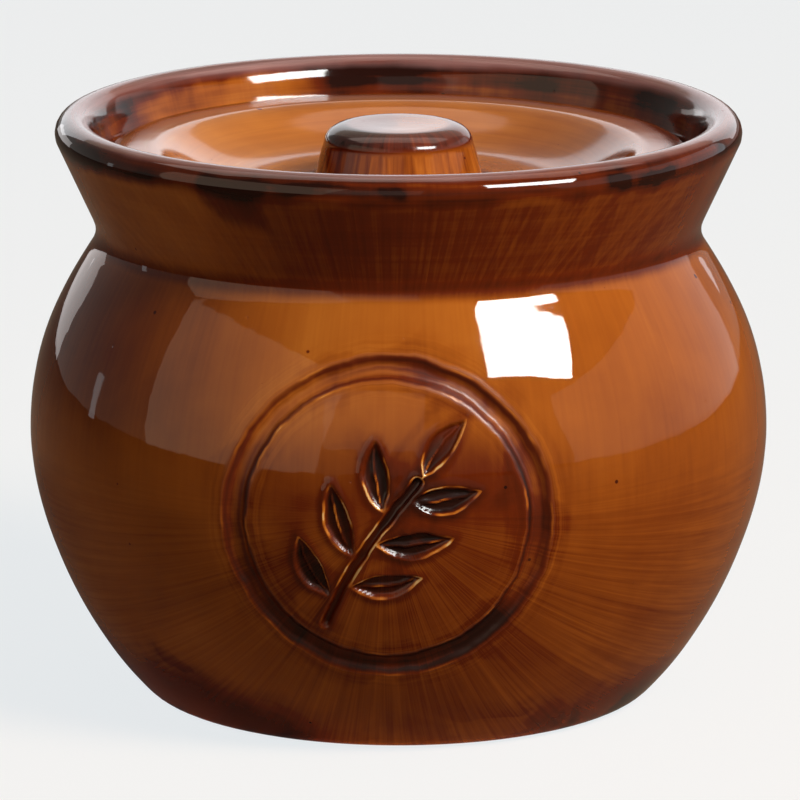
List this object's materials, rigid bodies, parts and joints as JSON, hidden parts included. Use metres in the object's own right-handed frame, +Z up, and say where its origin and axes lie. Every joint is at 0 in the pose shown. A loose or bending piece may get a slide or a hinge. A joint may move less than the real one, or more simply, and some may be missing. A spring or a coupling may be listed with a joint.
{
  "type": "lidded stoneware stew pot",
  "caption": "Round-bellied glazed stoneware stew pot with a flared collar, a carved roundel and a loose inset lid with a stub knob.",
  "frame": {"origin": "centre of the base, on the surface that the pot stands on", "axes": "+Z up along the pot's turning axis, -Y towards the carved roundel, +X to the right seen from that side"},
  "size_m": [0.1242, 0.1242, 0.0986],
  "materials": {
    "pot_glaze": "glossy amber brown glaze, darker where it pools",
    "lid_glaze": "glossy amber glaze",
    "knob_glaze": "glossy amber glaze with a dark rounded edge"
  },
  "bodies": {
    "pot": {"pot_body": "pot_glaze"},
    "lid": {"lid_plate": "lid_glaze", "lid_knob": "knob_glaze"}
  },
  "joints": [
    {"name": "lid_lift", "type": "slide", "parent": "pot", "child": "lid", "axis": [0, 0, 1], "range_m": [0, 0.06]}
  ]
}
